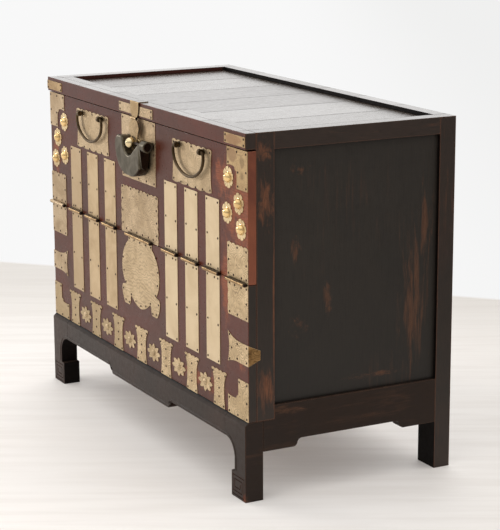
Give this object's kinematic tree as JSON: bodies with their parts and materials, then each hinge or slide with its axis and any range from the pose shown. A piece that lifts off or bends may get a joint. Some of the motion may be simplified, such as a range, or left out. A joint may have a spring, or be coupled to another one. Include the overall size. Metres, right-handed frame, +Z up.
{
  "type": "dowry chest",
  "caption": "Low lacquered dowry chest whose upper front is a drop door on strap hinges, held shut by a hasp and a sliding-bar padlock, with bail handles and brass plates.",
  "frame": {"origin": "middle of the footprint on the floor", "axes": "+X to the right along the front, +Y from the front towards the back, +Z up"},
  "size_m": [1.0144, 0.512, 0.752],
  "materials": {
    "cast_brass": "cast and turned brass, rubbed bright on the high places",
    "sheet_brass": "flat sheet brass, satin, cut and engraved",
    "padlock_iron": "dark grey iron, dull",
    "front_lacquer": "dark brown-purple lacquer, worn reddish in places",
    "stand_lacquer": "dark lacquer, worn at the edges",
    "frame_lacquer": "dark satin lacquer",
    "panel_wood": "black lacquer over soft wood, worn brown in streaks"
  },
  "bodies": {
    "case": {"back_panel": "panel_wood", "back_post_left": "frame_lacquer", "back_post_right": "frame_lacquer", "base_back_rail": "frame_lacquer", "base_corner_plates": "sheet_brass", "base_flowers": "sheet_brass", "base_waisted_plates": "sheet_brass", "edge_leaf_lower_left": "sheet_brass", "edge_leaf_lower_right": "sheet_brass", "floor_bearers": "panel_wood", "floor_boards": "panel_wood", "front_leg_left": "stand_lacquer", "front_leg_right": "stand_lacquer", "front_post_left": "frame_lacquer", "front_post_right": "frame_lacquer", "hasp_pin": "cast_brass", "hasp_strap": "cast_brass", "hinge_pins": "cast_brass", "lower_front_board": "front_lacquer", "middle_leaf_lower": "sheet_brass", "overlay_rail": "frame_lacquer", "rail_corner_plates": "sheet_brass", "rail_middle_plate": "sheet_brass", "side_apron_left": "stand_lacquer", "side_apron_right": "stand_lacquer", "side_panel_left": "panel_wood", "side_panel_right": "panel_wood", "stand_apron": "stand_lacquer", "strap_leaves_lower_left": "sheet_brass", "strap_leaves_lower_right": "sheet_brass", "top_back_rail": "frame_lacquer", "top_boards": "panel_wood", "top_front_rail": "frame_lacquer", "top_side_rail_left": "frame_lacquer", "top_side_rail_right": "frame_lacquer", "wrap_plate_left": "sheet_brass", "wrap_plate_right": "sheet_brass"},
    "door": {"door_board": "front_lacquer", "strap_leaves_upper_left": "sheet_brass", "strap_leaves_upper_right": "sheet_brass", "edge_leaf_upper_left": "sheet_brass", "edge_leaf_upper_right": "sheet_brass", "middle_leaf_upper": "sheet_brass", "door_corner_plate_left": "sheet_brass", "door_corner_plate_right": "sheet_brass", "door_flowers_left": "sheet_brass", "door_flowers_right": "sheet_brass", "handle_plate_left": "sheet_brass", "handle_plate_right": "sheet_brass", "handle_posts_left": "cast_brass", "handle_posts_right": "cast_brass", "lock_plate": "sheet_brass", "lock_staple": "cast_brass"},
    "hasp": {"hasp_tongue": "cast_brass"},
    "padlock": {"padlock_body": "padlock_iron"},
    "shackle": {"padlock_shackle": "padlock_iron"},
    "bail_left": {"bail_left": "cast_brass"},
    "bail_right": {"bail_right": "cast_brass"}
  },
  "joints": [
    {"name": "door_drop", "type": "hinge", "parent": "case", "child": "door", "pos_m": [0, -0.231, 0.449], "axis": [1, 0, 0], "range_deg": [0, 165]},
    {"name": "hasp_lift", "type": "hinge", "parent": "case", "child": "hasp", "pos_m": [0, -0.235, 0.715], "axis": [1, 0, 0], "range_deg": [-165, 0]},
    {"name": "padlock_swing", "type": "hinge", "parent": "door", "child": "padlock", "pos_m": [0, -0.24, 0.6625], "axis": [1, 0, 0], "range_deg": [-90, 0]},
    {"name": "shackle_slide", "type": "slide", "parent": "padlock", "child": "shackle", "axis": [1, 0, 0], "range_m": [0, 0.076]},
    {"name": "bail_left_lift", "type": "hinge", "parent": "door", "child": "bail_left", "pos_m": [-0.251, -0.234, 0.687], "axis": [1, 0, 0], "range_deg": [-150, 0]},
    {"name": "bail_right_lift", "type": "hinge", "parent": "door", "child": "bail_right", "pos_m": [0.261, -0.234, 0.687], "axis": [1, 0, 0], "range_deg": [-150, 0]}
  ]
}
